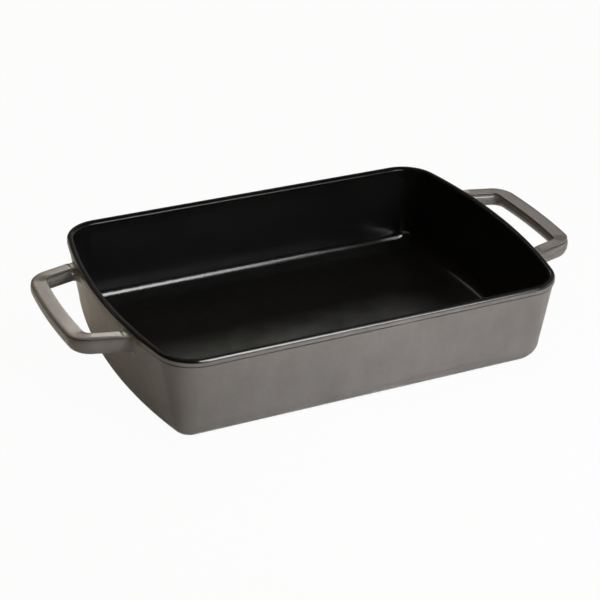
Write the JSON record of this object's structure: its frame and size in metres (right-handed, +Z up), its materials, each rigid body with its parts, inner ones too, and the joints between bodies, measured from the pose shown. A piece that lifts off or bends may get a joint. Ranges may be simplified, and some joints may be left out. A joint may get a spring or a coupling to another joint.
{
  "type": "roasting pan",
  "caption": "Rectangular enamelled cast iron roasting pan with drafted walls, round corners, a rolled rim, black inside, grey outside and open loop handles on the short ends.",
  "frame": {"origin": "middle of the flat foot that the pan stands on", "axes": "+X along the pan towards the right handle, +Y towards the back long side, +Z up"},
  "size_m": [0.3668, 0.203, 0.065],
  "materials": {
    "bare_iron": "bare iron, ground flat at the foot, under enamel everywhere else",
    "grey_enamel": "glossy translucent graphite grey enamel",
    "black_enamel": "satin black enamel",
    "grey_enamelled_iron": "cast iron under glossy graphite grey enamel"
  },
  "bodies": {
    "root": {"pan_body": "bare_iron", "outer_enamel": "grey_enamel", "inner_enamel": "black_enamel", "right_handle": "grey_enamelled_iron", "left_handle": "grey_enamelled_iron"}
  },
  "joints": []
}
